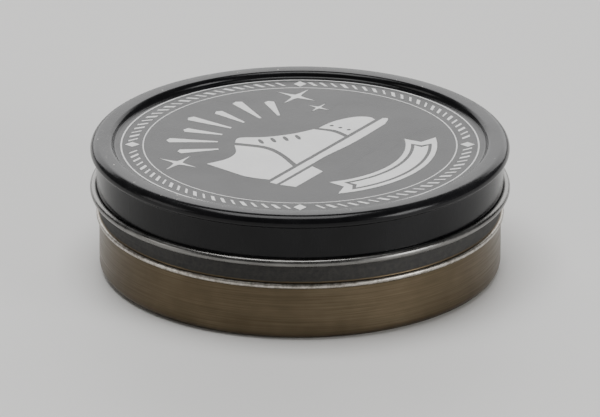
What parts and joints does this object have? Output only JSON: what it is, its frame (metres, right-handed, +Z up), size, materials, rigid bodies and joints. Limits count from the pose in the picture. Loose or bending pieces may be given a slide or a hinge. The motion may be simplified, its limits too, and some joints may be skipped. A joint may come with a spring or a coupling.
{
  "type": "shoe polish tin",
  "caption": "Shallow round metal tin of wax shoe polish with a black slip lid that lifts off and turns, and a twist key riveted to its side.",
  "frame": {"origin": "centre of the standing ring, on the surface that the tin rests on", "axes": "+Z up through the lid, +Y out through the twist key, +X to the right when the key is behind"},
  "size_m": [0.0724, 0.0763, 0.023],
  "materials": {
    "gold_lacquered_tinplate": "satin",
    "black_lacquered_tinplate": "gloss",
    "black_wax_polish": "satin",
    "plated_steel": "satin",
    "sealing_compound": "matte",
    "fibre_washer": "matte",
    "label_paper": "matte"
  },
  "bodies": {
    "base": {"base_pan": "gold_lacquered_tinplate", "polish_wax": "black_wax_polish", "base_label": "label_paper", "rivet_washer": "fibre_washer", "key_rivet": "plated_steel"},
    "key": {"opener_key": "plated_steel"},
    "seal_ring": {"lid_seal": "sealing_compound"},
    "lid": {"lid_shell": "black_lacquered_tinplate"}
  },
  "joints": [
    {"name": "lid_lift", "type": "slide", "parent": "base", "child": "seal_ring", "axis": [0, 0, 1], "range_m": [0, 0.04]},
    {"name": "lid_turn", "type": "hinge", "parent": "seal_ring", "child": "lid", "pos_m": [0, 0, 0.0222], "axis": [0, 0, 1], "continuous": true},
    {"name": "key_twist", "type": "hinge", "parent": "base", "child": "key", "pos_m": [0, 0.0356, 0.0089], "axis": [0, 1, 0], "range_deg": [-90, 90]}
  ]
}
